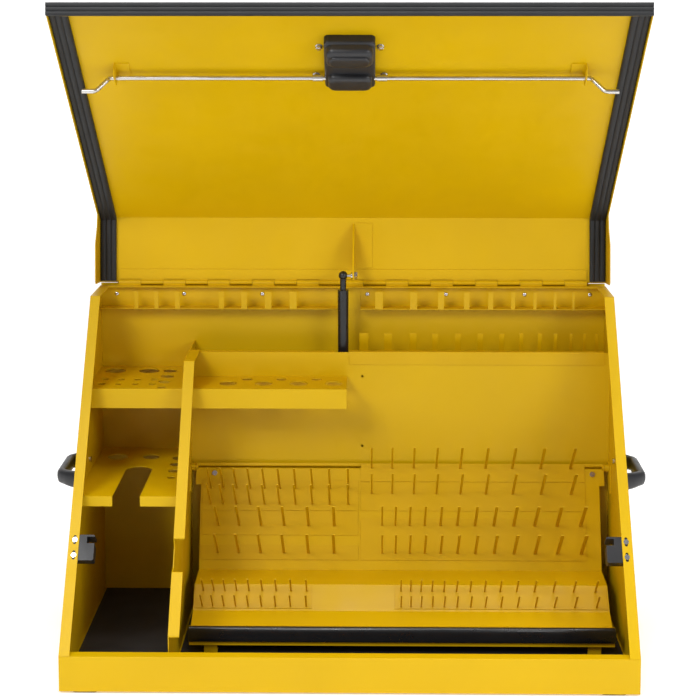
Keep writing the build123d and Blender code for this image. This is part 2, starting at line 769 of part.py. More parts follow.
with BuildPart() as lid_shell:
    shell_line = [
        yz(lid_rear, 0, 0),
        yz(lid_front, 0, 0),
        yz(lid_front, lid_length, 0),
    ]
    sheet(-lid_half, lid_half, shell_line[::-1], steel)
    flange_outline = [
        opened(edge_y, flange_low),
        opened(edge_y + lid_flange, flange_low),
        opened(edge_y + lid_flange, flange_low + steel),
        opened(edge_y + steel, flange_low + steel),
    ]
    prism(Plane.YZ.offset(-flange_half), flange_outline, 2 * flange_half)
    hem_outline = [
        opened(edge_y, flange_low),
        opened(edge_y + hem, flange_low),
        yz(lid_front, lid_length, 0),
        yz(lid_front, lid_length, -steel),
    ]
    prism(Plane.YZ.offset(-lid_half), hem_outline, lid_width)
    for side in (-1, 1):
        skirt = [
            yz(lid_rear, 0, -steel),
            yz(lid_rear, rear_length, -steel),
            opened(edge_y, flange_low),
            yz(lid_front, lid_s(flange_low, side_skirt_front), side_skirt_front),
            yz(lid_front, 30, side_skirt_front),
            yz(lid_rear, rear_length - 20, side_skirt_rear - 16),
            yz(lid_rear, rear_length - 45, side_skirt_rear),
            yz(lid_rear, 6, side_skirt_rear),
            yz(lid_rear, 0, side_skirt_rear - 6),
        ]
        prism(Plane.YZ.offset(side * lid_half), skirt, -side * steel)
    with BuildSketch(lid_front.offset(-steel - 1)) as opening:
        with Locations((0, latch_s)):
            RectangleRounded(*latch_opening, 5)
    extrude(opening.sketch, amount=steel + 2, mode=Mode.SUBTRACT)
lid_shell.part.label = "lid_shell"
export_step(lid_shell.part, "parts/lid_shell.step")

seal_out = lid_half - steel - 1
seal_in = seal_out - seal_wide


def front_seal_outline(deep):
    """Section of the strip under the flange, from the free edge inwards."""
    low = flange_low - front_seal_thick
    corners = [(0, flange_low), (deep, flange_low), (deep, low), (0, low)]
    return [opened(edge_y + y, z) for y, z in corners]


with BuildPart() as seal_front:
    prism(Plane.YZ.offset(-flange_half), front_seal_outline(lid_flange), 2 * flange_half)
    prism(Plane.YZ.offset(-lid_half + steel), front_seal_outline(hem), lid_width - 2 * steel)
seal_front.part.label = "seal_front"
export_step(seal_front.part, "parts/seal_front.step")


seal_end_gap = 9.0


def side_seal(side):
    """The strip along one edge of both lid panels, folded at the bend."""
    line = [yz(lid_rear, 3, 0), yz(lid_front, 0, 0), yz(lid_front, lid_length - seal_end_gap, 0)]
    outline = folded(line, seal_thick)
    prism(Plane.YZ.offset(side * seal_in), outline, side * seal_wide)


with BuildPart() as seal_left:
    side_seal(-1)
seal_left.part.label = "seal_left"
export_step(seal_left.part, "parts/seal_left.step")

with BuildPart() as seal_right:
    side_seal(1)
seal_right.part.label = "seal_right"
export_step(seal_right.part, "parts/seal_right.step")

# ---- Latch --------------------------------------------------------------------------
housing_wide, housing_low, housing_high, housing_deep = 80.0, 418.0, 536.0, 34.0
wall = 2.5
with BuildPart() as latch_dish:
    with BuildSketch(lid_front.offset(-steel)) as bezel:
        with Locations((0, latch_s)):
            RectangleRounded(86, 108, 6)
    extrude(bezel.sketch, amount=-2.5)
    with BuildSketch(lid_front.offset(-steel)) as tub:
        with Locations((0, latch_s)):
            RectangleRounded(latch_opening[0] - 1, latch_opening[1] - 1, 4)
    extrude(tub.sketch, amount=17)
    with BuildSketch(lid_front.offset(-steel - 3)) as recess:
        with Locations((0, latch_s)):
            RectangleRounded(latch_opening[0] - 6, latch_opening[1] - 6, 3)
    extrude(recess.sketch, amount=17, mode=Mode.SUBTRACT)
latch_dish.part.label = "latch_dish"
export_step(latch_dish.part, "parts/latch_dish.step")

with BuildPart() as latch_housing:
    middle = (housing_low + housing_high) / 2
    with BuildSketch(lid_front) as box:
        with Locations((0, middle)):
            RectangleRounded(housing_wide, housing_high - housing_low, 6)
    extrude(box.sketch, amount=housing_deep)
    with BuildSketch(lid_front.offset(-1)) as hollow:
        with Locations((0, middle)):
            RectangleRounded(housing_wide - 2 * wall, housing_high - housing_low - 2 * wall, 4)
    extrude(hollow.sketch, amount=housing_deep - wall + 1, mode=Mode.SUBTRACT)
    with BuildSketch(Plane.YZ.offset(-60)) as side_slots:
        with BuildLine():
            Polyline(
                yz(lid_front, rod_s - 9, 3),
                yz(lid_front, rod_s + 9, 3),
                yz(lid_front, rod_s + 9, 21),
                yz(lid_front, rod_s - 9, 21),
                close=True,
            )
        make_face()
    extrude(side_slots.sketch, amount=120, mode=Mode.SUBTRACT)
latch_housing.part.label = "latch_housing"
export_step(latch_housing.part, "parts/latch_housing.step")

with BuildPart() as latch_band:
    with BuildSketch(lid_front.offset(housing_deep)) as band:
        with Locations((0, housing_high - 26)):
            RectangleRounded(64, 44, 8)
    extrude(band.sketch, amount=5)
latch_band.part.label = "latch_band"
export_step(latch_band.part, "parts/latch_band.step")

with BuildPart() as latch_bolts:
    for x, s in ((-48, 507), (48, 507), (-54, 433), (54, 433)):
        with BuildSketch(lid_front.shift_origin(lid_front.from_local_coords((x, s, 0)))) as nut:
            RegularPolygon(5.5, 6)
        extrude(nut.sketch, amount=6)
latch_bolts.part.label = "latch_bolts"
export_step(latch_bolts.part, "parts/latch_bolts.step")

paddle_s = latch_s + 36            # paddle pivot, near the free edge
paddle_n = 3.0
paddle_open = 25.0                 # degrees the released paddle stands out of its dish
with BuildPart() as latch_paddle:
    pivot = lid_front.from_local_coords((0, paddle_s, paddle_n))
    lifted = Plane(origin=pivot, x_dir=(1, 0, 0), z_dir=lid_front.z_dir).rotated((paddle_open, 0, 0))
    with BuildSketch(lifted.offset(-3)) as plate:
        with Locations((0, -37)):
            RectangleRounded(58, 70, 6)
    extrude(plate.sketch, amount=4)
    with BuildSketch(Plane.YZ.offset(-30)) as roller:
        with Locations((pivot.Y, pivot.Z)):
            Circle(3.2)
    extrude(roller.sketch, amount=60)
latch_paddle.part.label = "latch_paddle"
export_step(latch_paddle.part, "parts/latch_paddle.step")

with BuildPart() as lock_plug:
    with BuildSketch(lid_front.offset(-steel - 2.5).shift_origin(
            lid_front.from_local_coords((0, latch_s - 49.5, -steel - 2.5)))) as plug:
        Circle(3.2)
    extrude(plug.sketch, amount=-1.5)
lock_plug.part.label = "lock_plug"
export_step(lock_plug.part, "parts/lock_plug.step")


def rod_guide(side):
    """An L bracket on the lid that a latch rod slides through."""
    x = side * 373.0
    foot_points = [(x, 426), (x - side * 22, 426), (x - side * 22, 464), (x, 464)]
    prism(lid_front, foot_points, steel)
    corners = ((426, 0), (464, 0), (464, 14), (456, 23), (434, 23), (426, 14))
    outline = [yz(lid_front, s, n) for s, n in corners]
    prism(Plane.YZ.offset(x), outline, side * steel)
    with BuildSketch(Plane.YZ.offset(x - side)) as hole:
        with Locations(yz(lid_front, rod_s, rod_clear)):
            Circle(rod_radius + 0.08)
    extrude(hole.sketch, amount=side * 4, mode=Mode.SUBTRACT)


with BuildPart() as rod_guide_left:
    rod_guide(-1)
rod_guide_left.part.label = "rod_guide_left"
export_step(rod_guide_left.part, "parts/rod_guide_left.step")

with BuildPart() as rod_guide_right:
    rod_guide(1)
rod_guide_right.part.label = "rod_guide_right"
export_step(rod_guide_right.part, "parts/rod_guide_right.step")

rod_inner = 36.5
bend_start = 383.0
bend_end = 403.0


def rod(side):
    """A latch rod: long straight run, offset bend, short end."""
    def point(x, n):
        return lid_front.from_local_coords((side * x, rod_s, n))

    with BuildLine() as path:
        FilletPolyline(
            point(rod_inner, rod_clear),
            point(bend_start, rod_clear),
            point(bend_end, rod_end_clear),
            point(rod_tip, rod_end_clear),
            radius=9,
        )
    with BuildSketch(Plane(origin=path.line @ 0, z_dir=path.line % 0)) as section:
        Circle(rod_radius)
    sweep(section.sketch, path=path.line)
    start = Plane(origin=point(43, rod_clear), z_dir=(side, 0, 0))
    with BuildSketch(start) as coupler:
        Circle(5.2)
        Circle(rod_radius - 0.5, mode=Mode.SUBTRACT)
    extrude(coupler.sketch, amount=16)


with BuildPart() as latch_rod_left:
    rod(-1)
latch_rod_left.part.label = "latch_rod_left"
export_step(latch_rod_left.part, "parts/latch_rod_left.step")

with BuildPart() as latch_rod_right:
    rod(1)
latch_rod_right.part.label = "latch_rod_right"
export_step(latch_rod_right.part, "parts/latch_rod_right.step")

# ---- Gas strut ----------------------------------------------------------------------
strut_x = -16.0
stud_y, stud_z = hinge_y - 56.0, hinge_z + 23.0
foot_y, foot_z = at(412), 250.0
web_x, web_t = 0.5, 3.0
socket_radius = 8.0
ball_radius = 5.0

with BuildPart() as strut_bracket:
    along = Vector(0, stud_y - lid_rear.origin.Y, stud_z - lid_rear.origin.Z)
    stud_s = along.dot(lid_rear.y_dir)
    stud_n = along.dot(lid_rear.z_dir)
    web = [(108, 0), (27, 0), (27, 34), (stud_s - 8, stud_n - 8), (stud_s - 8, stud_n + 4)]
    web += [(stud_s - 3, stud_n + 8), (stud_s + 6, stud_n + 8), (52, stud_n - 12), (84, 26)]
    prism(Plane.YZ.offset(web_x), [yz(lid_rear, s, n) for s, n in web], web_t)
    prism(lid_rear, [(web_x, 27), (36, 27), (36, 108), (web_x, 108)], steel)
strut_bracket.part.label = "strut_bracket"
export_step(strut_bracket.part, "parts/strut_bracket.step")

with BuildPart() as strut_stud:
    stud_plane = Plane(origin=(0, stud_y, stud_z), x_dir=(1, 0, 0), z_dir=(0, 0, 1))
    shank = 2.8
    collar = web_x - 2.5
    ball_neck = strut_x + sqrt(ball_radius**2 - shank**2)
    with BuildSketch(stud_plane):
        with BuildLine():
            Polyline((strut_x - ball_radius, 0), (web_x, 0), (web_x, 6.5), (collar, 6.5), (collar, shank),
                     (ball_neck, shank))
            ThreePointArc((ball_neck, shank), (strut_x, ball_radius), (strut_x - ball_radius, 0))
        make_face()
    revolve(axis=Axis((0, stud_y, stud_z), (1, 0, 0)))
strut_stud.part.label = "strut_stud"
export_step(strut_stud.part, "parts/strut_stud.step")

with BuildPart() as strut_nut:
    with BuildSketch(Plane.YZ.offset(web_x + web_t)) as nut:
        with Locations((stud_y, stud_z)):
            RegularPolygon(7.5, 6)
    extrude(nut.sketch, amount=6)
strut_nut.part.label = "strut_nut"
export_step(strut_nut.part, "parts/strut_nut.step")

strut_axis = Vector(0, foot_y - stud_y, foot_z - stud_z)
strut_open_length = strut_axis.length
strut_down = strut_axis.normalized()
strut_top = Plane(origin=(strut_x, stud_y, stud_z), x_dir=(1, 0, 0), z_dir=strut_down)
cylinder_start, cylinder_long = 26.0, 200.0
cylinder_radius = 9.5
strut_rod_radius = 4.0



def ball_hollow(y, z, ball, mouth):
    """A round hollow for a ball, open towards +X for the neck of the stud."""
    start = strut_x + sqrt(ball**2 - mouth**2)
    with BuildSketch(Plane(origin=(0, y, z), x_dir=(1, 0, 0), z_dir=(0, 0, 1))) as section:
        with BuildLine():
            Polyline((strut_x - ball, 0), (strut_x + 12, 0), (strut_x + 12, mouth), (start, mouth))
            ThreePointArc((start, mouth), (strut_x, ball), (strut_x - ball, 0))
        make_face()
    revolve(section.sketch, axis=Axis((0, y, z), (1, 0, 0)), mode=Mode.SUBTRACT)


with BuildPart() as strut_socket:
    with Locations((strut_x, stud_y, stud_z)):
        Sphere(socket_radius)
    with BuildSketch(strut_top) as neck:
        Circle(5.5)
    extrude(neck.sketch, amount=cylinder_start)
    ball_hollow(stud_y, stud_z, ball_radius + 0.3, 4.2)
strut_socket.part.label = "strut_socket"
export_step(strut_socket.part, "parts/strut_socket.step")

with BuildPart() as strut_cylinder:
    with BuildSketch(strut_top.offset(cylinder_start)) as tube:
        Circle(cylinder_radius)
    extrude(tube.sketch, amount=cylinder_long)
    with BuildSketch(strut_top.offset(cylinder_start + 12)) as chamber:
        Circle(cylinder_radius - 1.8)
    extrude(chamber.sketch, amount=cylinder_long - 20, mode=Mode.SUBTRACT)
    with BuildSketch(strut_top.offset(cylinder_start + 100)) as gland:
        Circle(strut_rod_radius + 0.08)
    extrude(gland.sketch, amount=cylinder_long, mode=Mode.SUBTRACT)
strut_cylinder.part.label = "strut_cylinder"
export_step(strut_cylinder.part, "parts/strut_cylinder.step")

rod_top = cylinder_start + cylinder_long - 18
with BuildPart() as strut_rod:
    with BuildSketch(strut_top.offset(rod_top)) as piston:
        Circle(cylinder_radius - 2.2)
    extrude(piston.sketch, amount=7)
    with BuildSketch(strut_top.offset(rod_top)) as bar:
        Circle(strut_rod_radius)
    extrude(bar.sketch, amount=strut_open_length - rod_top - 12)
strut_rod.part.label = "strut_rod"
export_step(strut_rod.part, "parts/strut_rod.step")

with BuildPart() as strut_end:
    with BuildSketch(strut_top.offset(strut_open_length - 12)) as neck:
        Circle(5.5)
    extrude(neck.sketch, amount=8)
    with Locations((strut_x, foot_y, foot_z)):
        Sphere(7.5)
    ball_hollow(foot_y, foot_z, ball_radius, 4)
strut_end.part.label = "strut_end"
export_step(strut_end.part, "parts/strut_end.step")

with BuildPart() as strut_foot_bracket:
    plate_x = -7.5
    slab((plate_x, foot_y - 12, foot_z - 18), (plate_x + 3, at(depth - steel), foot_z + 18))
    slab((plate_x, at(depth - steel) - 3, foot_z - 18), (plate_x + 30, at(depth - steel), foot_z + 18))
    with BuildSketch(Plane.YZ.offset(plate_x + 3)) as stud_head:
        with Locations((foot_y, foot_z)):
            Circle(5)
    extrude(stud_head.sketch, amount=2.5)
strut_foot_bracket.part.label = "strut_foot_bracket"
export_step(strut_foot_bracket.part, "parts/strut_foot_bracket.step")
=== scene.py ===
import json
import math

import bmesh
import bpy
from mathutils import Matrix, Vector


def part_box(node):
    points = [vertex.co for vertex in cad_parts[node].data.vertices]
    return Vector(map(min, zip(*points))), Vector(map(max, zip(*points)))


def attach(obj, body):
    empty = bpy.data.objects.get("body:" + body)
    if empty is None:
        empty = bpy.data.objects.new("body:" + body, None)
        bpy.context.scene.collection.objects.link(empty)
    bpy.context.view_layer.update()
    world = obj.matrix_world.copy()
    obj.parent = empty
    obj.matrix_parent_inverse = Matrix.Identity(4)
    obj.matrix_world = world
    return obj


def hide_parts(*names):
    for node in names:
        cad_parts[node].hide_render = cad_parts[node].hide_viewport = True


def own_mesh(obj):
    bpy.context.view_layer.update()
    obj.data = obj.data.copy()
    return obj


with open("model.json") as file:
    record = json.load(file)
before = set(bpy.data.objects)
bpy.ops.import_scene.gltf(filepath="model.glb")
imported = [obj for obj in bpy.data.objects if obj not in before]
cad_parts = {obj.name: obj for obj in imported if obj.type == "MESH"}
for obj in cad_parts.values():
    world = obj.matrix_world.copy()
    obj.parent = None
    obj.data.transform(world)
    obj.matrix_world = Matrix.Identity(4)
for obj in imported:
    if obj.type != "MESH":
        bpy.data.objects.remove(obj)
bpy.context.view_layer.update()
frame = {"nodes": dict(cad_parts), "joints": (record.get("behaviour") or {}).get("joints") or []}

MM = 0.001

# ---- Places taken from the frame ----------------------------------------------------
base_low, base_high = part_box("base_pan")
half_width = base_high[0]
front_y = base_low[1]
back_y = base_high[1]
lip_z = base_high[2]
top_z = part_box("side_panel_left")[1][2]
slant_top = 347 * MM            # behind the front wall, where the slant meets the flat top
lid_gap = 8.7 * MM              # closed lid panel above the flanges
slope = math.atan2(top_z - lip_z, slant_top)
hinge = next(j for j in frame["joints"] if j["name"] == "lid_hinge")
hinge_at = Vector(hinge["pos_m"])
lid_open = math.radians(hinge["range_deg"][1])


def turned(y, z, angle):
    """A (Y, Z) direction turned about +X."""
    return (y * math.cos(angle) - z * math.sin(angle), y * math.sin(angle) + z * math.cos(angle))


def opened(y, z):
    """Where a point of the closed lid is with the lid open."""
    dy, dz = turned(y - hinge_at.y, z - hinge_at.z, -lid_open)
    return Vector((0, hinge_at.y + dy, hinge_at.z + dz))


class Panel:
    """A flat panel across X: s runs along it and n stands square to it."""

    def __init__(self, origin, along, normal):
        self.origin = origin
        self.along = Vector((0, *along))
        self.normal = Vector((0, *normal))

    def at(self, x, s, n):
        return self.origin + Vector((x, 0, 0)) + self.along * s + self.normal * n


bend_y = front_y + slant_top - lid_gap * math.tan(slope / 2)
lid_front = Panel(
    opened(bend_y, top_z + lid_gap),
    turned(-math.cos(slope), -math.sin(slope), -lid_open),
    turned(math.sin(slope), -math.cos(slope), -lid_open),
)
lid_rear = Panel(
    opened(hinge_at.y, top_z + lid_gap), turned(-1, 0, -lid_open), turned(0, -1, -lid_open)
)
lid_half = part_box("lid_shell")[1][0]
steel = 1.5 * MM
seal_thick = 8 * MM
seal_wide = 28 * MM
front_seal_thick = 13 * MM
seal_inset = steel + 1 * MM      # side seals inside the outer face of the lid's skirts
flange_low = lip_z + 1.4 * MM + front_seal_thick      # return flange of the closed lid
lid_flange = 20 * MM
flange_half = half_width - 19 * MM                    # it passes between the side rims
lid_length = (top_z + lid_gap - flange_low - steel) / math.sin(slope)
edge_y = bend_y - lid_length * math.cos(slope) - steel * (1 + math.cos(slope)) / math.sin(slope)


# ---- Material helpers ---------------------------------------------------------------
def new_material(name, colour, roughness, metallic=0.0):
    mat = bpy.data.materials.new(name)
    mat.use_nodes = True
    nodes = mat.node_tree.nodes
    shader = nodes["Principled BSDF"]
    shader.inputs["Base Color"].default_value = (*colour, 1)
    shader.inputs["Roughness"].default_value = roughness
    shader.inputs["Metallic"].default_value = metallic
    return mat, nodes, mat.node_tree.links, shader


def noise(nodes, links, scale, detail=2.0, stretch=(1, 1, 1)):
    """Noise in the object's own space, so that it rides with the piece."""
    coords = nodes.new("ShaderNodeTexCoord")
    mapping = nodes.new("ShaderNodeMapping")
    mapping.inputs["Scale"].default_value = stretch
    texture = nodes.new("ShaderNodeTexNoise")
    texture.inputs["Scale"].default_value = scale
    texture.inputs["Detail"].default_value = detail
    links.new(coords.outputs["Object"], mapping.inputs["Vector"])
    links.new(mapping.outputs["Vector"], texture.inputs["Vector"])
    return texture.outputs["Fac"]


def ramp(nodes, links, source, stops):
    """A colour ramp; stops are (place, colour)."""
    node = nodes.new("ShaderNodeValToRGB")
    elements = node.color_ramp.elements
    while len(elements) < len(stops):
        elements.new(0.5)
    for element, (place, colour) in zip(elements, stops):
        element.position = place
        element.color = (*colour, 1)
    links.new(source, node.inputs["Fac"])
    return node.outputs["Color"]


def spread(nodes, links, source, low, high, to_low, to_high):
    """A value mapped from one range to another."""
    node = nodes.new("ShaderNodeMapRange")
    node.inputs["From Min"].default_value = low
    node.inputs["From Max"].default_value = high
    node.inputs["To Min"].default_value = to_low
    node.inputs["To Max"].default_value = to_high
    links.new(source, node.inputs["Value"])
    return node.outputs["Result"]


def bump(nodes, links, height, depth, strength, shader, under=None):
    node = nodes.new("ShaderNodeBump")
    node.inputs["Strength"].default_value = strength
    node.inputs["Distance"].default_value = depth
    links.new(height, node.inputs["Height"])
    if under is not None:
        links.new(under, node.inputs["Normal"])
    links.new(node.outputs["Normal"], shader.inputs["Normal"])
    return node.outputs["Normal"]


def soft_edges(nodes, radius):
    """A shading normal that rounds sharp sheet edges."""
    node = nodes.new("ShaderNodeBevel")
    node.samples = 4
    node.inputs["Radius"].default_value = radius
    return node.outputs["Normal"]


def powder_coat(name, light, dark, roughness=0.42):
    """Textured powder coat: slight drift of colour, fine orange peel, softened sheet edges."""
    mat, nodes, links, shader = new_material(name, light, roughness)
    drift = noise(nodes, links, 5, 3)
    links.new(ramp(nodes, links, drift, [(0.3, dark), (0.7, light)]), shader.inputs["Base Color"])
    cloud = noise(nodes, links, 22, 2)
    varied = spread(nodes, links, cloud, 0.3, 0.7, roughness - 0.05, roughness + 0.07)
    links.new(varied, shader.inputs["Roughness"])
    peel = noise(nodes, links, 620, 2)
    bump(nodes, links, peel, 0.25 * MM, 0.35, shader, soft_edges(nodes, 0.6 * MM))
    shader.inputs["Specular IOR Level"].default_value = 0.22
    return mat


def moulded_plastic(name, colour, roughness, grain=900):
    """Matte plastic with a fine grain and slightly uneven gloss."""
    mat, nodes, links, shader = new_material(name, colour, roughness)
    grit = noise(nodes, links, grain, 3)
    wear = noise(nodes, links, 40, 3)
    varied = spread(nodes, links, wear, 0.3, 0.7, roughness - 0.06, roughness + 0.08)
    links.new(varied, shader.inputs["Roughness"])
    bump(nodes, links, grit, 0.12 * MM, 0.3, shader, soft_edges(nodes, 0.5 * MM))
    return mat


def foam_rubber(name, colour):
    """Closed-cell rubber: fine pores and a dusty bloom."""
    mat, nodes, links, shader = new_material(name, colour, 0.62)
    pores = noise(nodes, links, 1400, 2)
    bloom = noise(nodes, links, 28, 4)
    lighter = tuple(c * 1.7 for c in colour)
    links.new(ramp(nodes, links, bloom, [(0.35, colour), (0.75, lighter)]), shader.inputs["Base Color"])
    bump(nodes, links, pores, 0.2 * MM, 0.4, shader)
    return mat


def plated_steel(name, colour, roughness, grain_along=(1, 1, 1)):
    """Bright or drawn steel with fine streaks along one direction."""
    mat, nodes, links, shader = new_material(name, colour, roughness, metallic=1.0)
    streaks = noise(nodes, links, 700, 2, grain_along)
    varied = spread(nodes, links, streaks, 0.3, 0.7, roughness * 0.75, roughness * 1.35)
    links.new(varied, shader.inputs["Roughness"])
    bump(nodes, links, streaks, 0.05 * MM, 0.15, shader, soft_edges(nodes, 0.3 * MM))
    return mat


yellow = powder_coat("yellow powder coat", (0.64, 0.40, 0.0), (0.60, 0.372, 0.0))
# A darker copy of the yellow powder coat: painted shade on the comb racks, tab rack and tray plate.
shaded_rack_yellow = powder_coat("yellow coat, painted rack shade", (0.63, 0.385, 0.0), (0.58, 0.35, 0.0), 0.38)
# A still darker copy of the yellow powder coat: painted shade on the wrench pins and short pins.
shaded_finger_yellow = powder_coat("yellow coat, painted finger shade", (0.62, 0.37, 0.0), (0.56, 0.33, 0.0), 0.4)
black_plastic = moulded_plastic("black moulded plastic", (0.013, 0.013, 0.015), 0.42)
black_trim = moulded_plastic("black trim", (0.010, 0.010, 0.011), 0.3, 500)
seal_rubber = foam_rubber("black seal rubber", (0.0055, 0.006, 0.007))
mat_rubber = foam_rubber("black mat rubber", (0.012, 0.012, 0.013))
foot_rubber = foam_rubber("black foot rubber", (0.014, 0.014, 0.015))
bright = plated_steel("bright plated steel", (0.62, 0.62, 0.63), 0.2)
rod_steel = plated_steel("drawn rod steel", (0.60, 0.585, 0.56), 0.26, (0.03, 1, 1))
plain_steel = plated_steel("brushed steel", (0.46, 0.46, 0.47), 0.34, (0.05, 1, 1))
black_paint = moulded_plastic("satin black paint", (0.008, 0.008, 0.009), 0.28, 300)
hinge_brown = powder_coat("shaded hinge pin", (0.30, 0.17, 0.0), (0.24, 0.13, 0.0), 0.5)
bumper_rubber = foam_rubber("pale bumper rubber", (0.42, 0.36, 0.26))


def finish(material, *names):
    """Give CAD nodes a material."""
    for name in names:
        node = frame["nodes"][name]
        node.data.materials.clear()
        node.data.materials.append(material)


finish(
    yellow,
    "base_pan", "side_panel_left", "side_panel_right", "back_panel", "divider_panel",
    "inner_back_panel",
    "socket_shelf", "bit_shelf", "drill_shelf", "lid_shell", "rod_guide_left", "rod_guide_right",
    "strut_bracket", "tray_bracket_left", "tray_bracket_right", "tray_rest_left", "tray_rest_right",
)
finish(shaded_rack_yellow, "comb_rack_left", "comb_rack_right", "tab_rack", "tray_plate")
finish(shaded_finger_yellow, "wrench_pins_left", "wrench_pins_right", "short_pins_left", "short_pins_right")
finish(seal_rubber, "seal_front", "seal_left", "seal_right")
finish(mat_rubber, "floor_mat_left", "floor_mat_main")
finish(foot_rubber, "rubber_feet")
finish(bumper_rubber, "tray_bumper_left", "tray_bumper_right")
finish(black_trim, "tray_trim")
finish(black_plastic, "handle_left", "handle_right", "latch_housing", "latch_band")
finish(black_plastic, "striker_left", "striker_right")
finish(bright, "comb_rack_screws", "striker_screws", "tray_screws", "handle_screws")
finish(bright, "latch_bolts", "strut_nut")
finish(bright, "strut_stud", "strut_rod", "lock_plug")
finish(rod_steel, "latch_rod_left", "latch_rod_right")
finish(plain_steel, "latch_dish", "latch_paddle", "strut_foot_bracket")
finish(yellow, "hinge_leaf_body", "hinge_leaf_lid")
finish(hinge_brown, "hinge_pin")
finish(black_paint, "strut_cylinder", "strut_socket", "strut_end")


# ---- Detailed pieces in place of CAD nodes ------------------------------------------
def mesh_piece(name, verts, faces, material, body, slot, *replaced, smooth=None):
    """A mesh object that rides on a body and stands for CAD nodes."""
    mesh = bpy.data.meshes.new(name)
    mesh.from_pydata([tuple(v) for v in verts], [], faces)
    bm = bmesh.new()
    bm.from_mesh(mesh)
    bmesh.ops.recalc_face_normals(bm, faces=bm.faces)
    bm.to_mesh(mesh)
    bm.free()
    obj = bpy.data.objects.new(name, mesh)
    bpy.context.collection.objects.link(obj)
    mesh.materials.append(material)
    if smooth is not None:
        mesh.shade_smooth()
        mesh.set_sharp_from_angle(angle=math.radians(smooth))
    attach(obj, body)
    if replaced:
        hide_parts(*replaced)
    return obj


def lofted(rings):
    """Vertices and faces of a closed solid through rings with the same number of points."""
    count = len(rings[0])
    verts = [point for ring in rings for point in ring]
    faces = [tuple(range(count)), tuple(range((len(rings) - 1) * count, len(rings) * count))]
    for i in range(len(rings) - 1):
        for k in range(count):
            a, b = i * count + k, i * count + (k + 1) % count
            faces.append((a, b, b + count, a + count))
    return verts, faces


def joined(solids):
    """One vertex and face list for several separate solids."""
    verts, faces = [], []
    for more_verts, more_faces in solids:
        start = len(verts)
        verts += more_verts
        faces += [tuple(i + start for i in face) for face in more_faces]
    return verts, faces


SEAL_RIBS = 3


def ribbed_section(wide, thick, ribs, groove=1.5 * MM):
    """Section of a sealing strip: flat back at 0, rounded ribs at its full thickness."""
    points = [(wide, 0), (0, 0)]
    pitch = wide / ribs
    steps = 8
    for r in range(ribs):
        for k in range(steps + 1):
            share = k / steps
            rise = math.sin(math.pi * share) ** 0.45 if 0 < share < 1 else 0
            points.append((pitch * (r + share), thick - groove + groove * rise))
    return points


def ribbed_side_seal(side):
    """The strip on both panels of the lid along one edge, folded at the bend."""
    outer = side * (lid_half - seal_inset)
    section = ribbed_section(seal_wide, seal_thick, SEAL_RIBS)
    fold = math.tan(math.radians(90) - (math.pi - slope) / 2)
    rings = []
    for place in ("hinge", "bend", "edge"):
        ring = []
        for across, n in section:
            x = outer - side * across
            if place == "hinge":
                ring.append(lid_rear.at(x, 3 * MM, n))
            elif place == "bend":
                ring.append(lid_front.at(x, n * fold, n))
            else:
                ring.append(lid_front.at(x, lid_length - 9 * MM, n))
        rings.append(ring)
    return lofted(rings)


for side, name in ((-1, "seal_left"), (1, "seal_right")):
    verts, faces = ribbed_side_seal(side)
    mesh_piece("ribbed_" + name, verts, faces, seal_rubber, "lid", "rubber", name, smooth=50)


def front_seal(x0, x1):
    """The strip under the flange; its ribs run along the free edge."""
    section = ribbed_section(lid_flange, front_seal_thick, SEAL_RIBS)
    rings = []
    for x in (x0, x1):
        rings.append([Vector((x, 0, 0)) + opened(edge_y + a, flange_low - n) for a, n in section])
    return lofted(rings)


verts, faces = front_seal(-flange_half, flange_half)
mesh_piece("ribbed_seal_front", verts, faces, seal_rubber, "lid", "rubber", "seal_front", smooth=50)
for side, name in ((-1, "seal_end_left"), (1, "seal_end_right")):
    verts, faces = front_seal(side * (flange_half + 0.1 * MM), side * (lid_half - steel - 0.5 * MM))
    end_block = mesh_piece(name, verts, faces, seal_rubber, "lid", "rubber", smooth=50)
    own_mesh(end_block)


def trim_bar():
    """Rounded moulding along the front of the wrench tray."""
    low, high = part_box("tray_trim")
    middle = (low[2] + high[2]) / 2
    tall = (high[2] - low[2]) / 2
    reach = high[1] - low[1]
    section = [(high[1], low[2])]
    for k in range(17):
        a = -math.pi / 2 + math.pi * k / 16
        lean = abs(math.cos(a)) ** 0.55
        rise = math.copysign(abs(math.sin(a)) ** 0.75, a)
        section.append((high[1] - reach * lean, middle + tall * rise))
    section.append((high[1], high[2]))
    rings = []
    for x, scale in ((low[0], 0.8), (low[0] + 2 * MM, 1), (high[0] - 2 * MM, 1), (high[0], 0.8)):
        ring = []
        for y, z in section:
            ring.append((x, high[1] + (y - high[1]) * scale, middle + (z - middle) * scale))
        rings.append(ring)
    return lofted(rings)


verts, faces = trim_bar()
mesh_piece("trim_bar", verts, faces, black_trim, "wrench_tray", "rubber", "tray_trim", smooth=45)


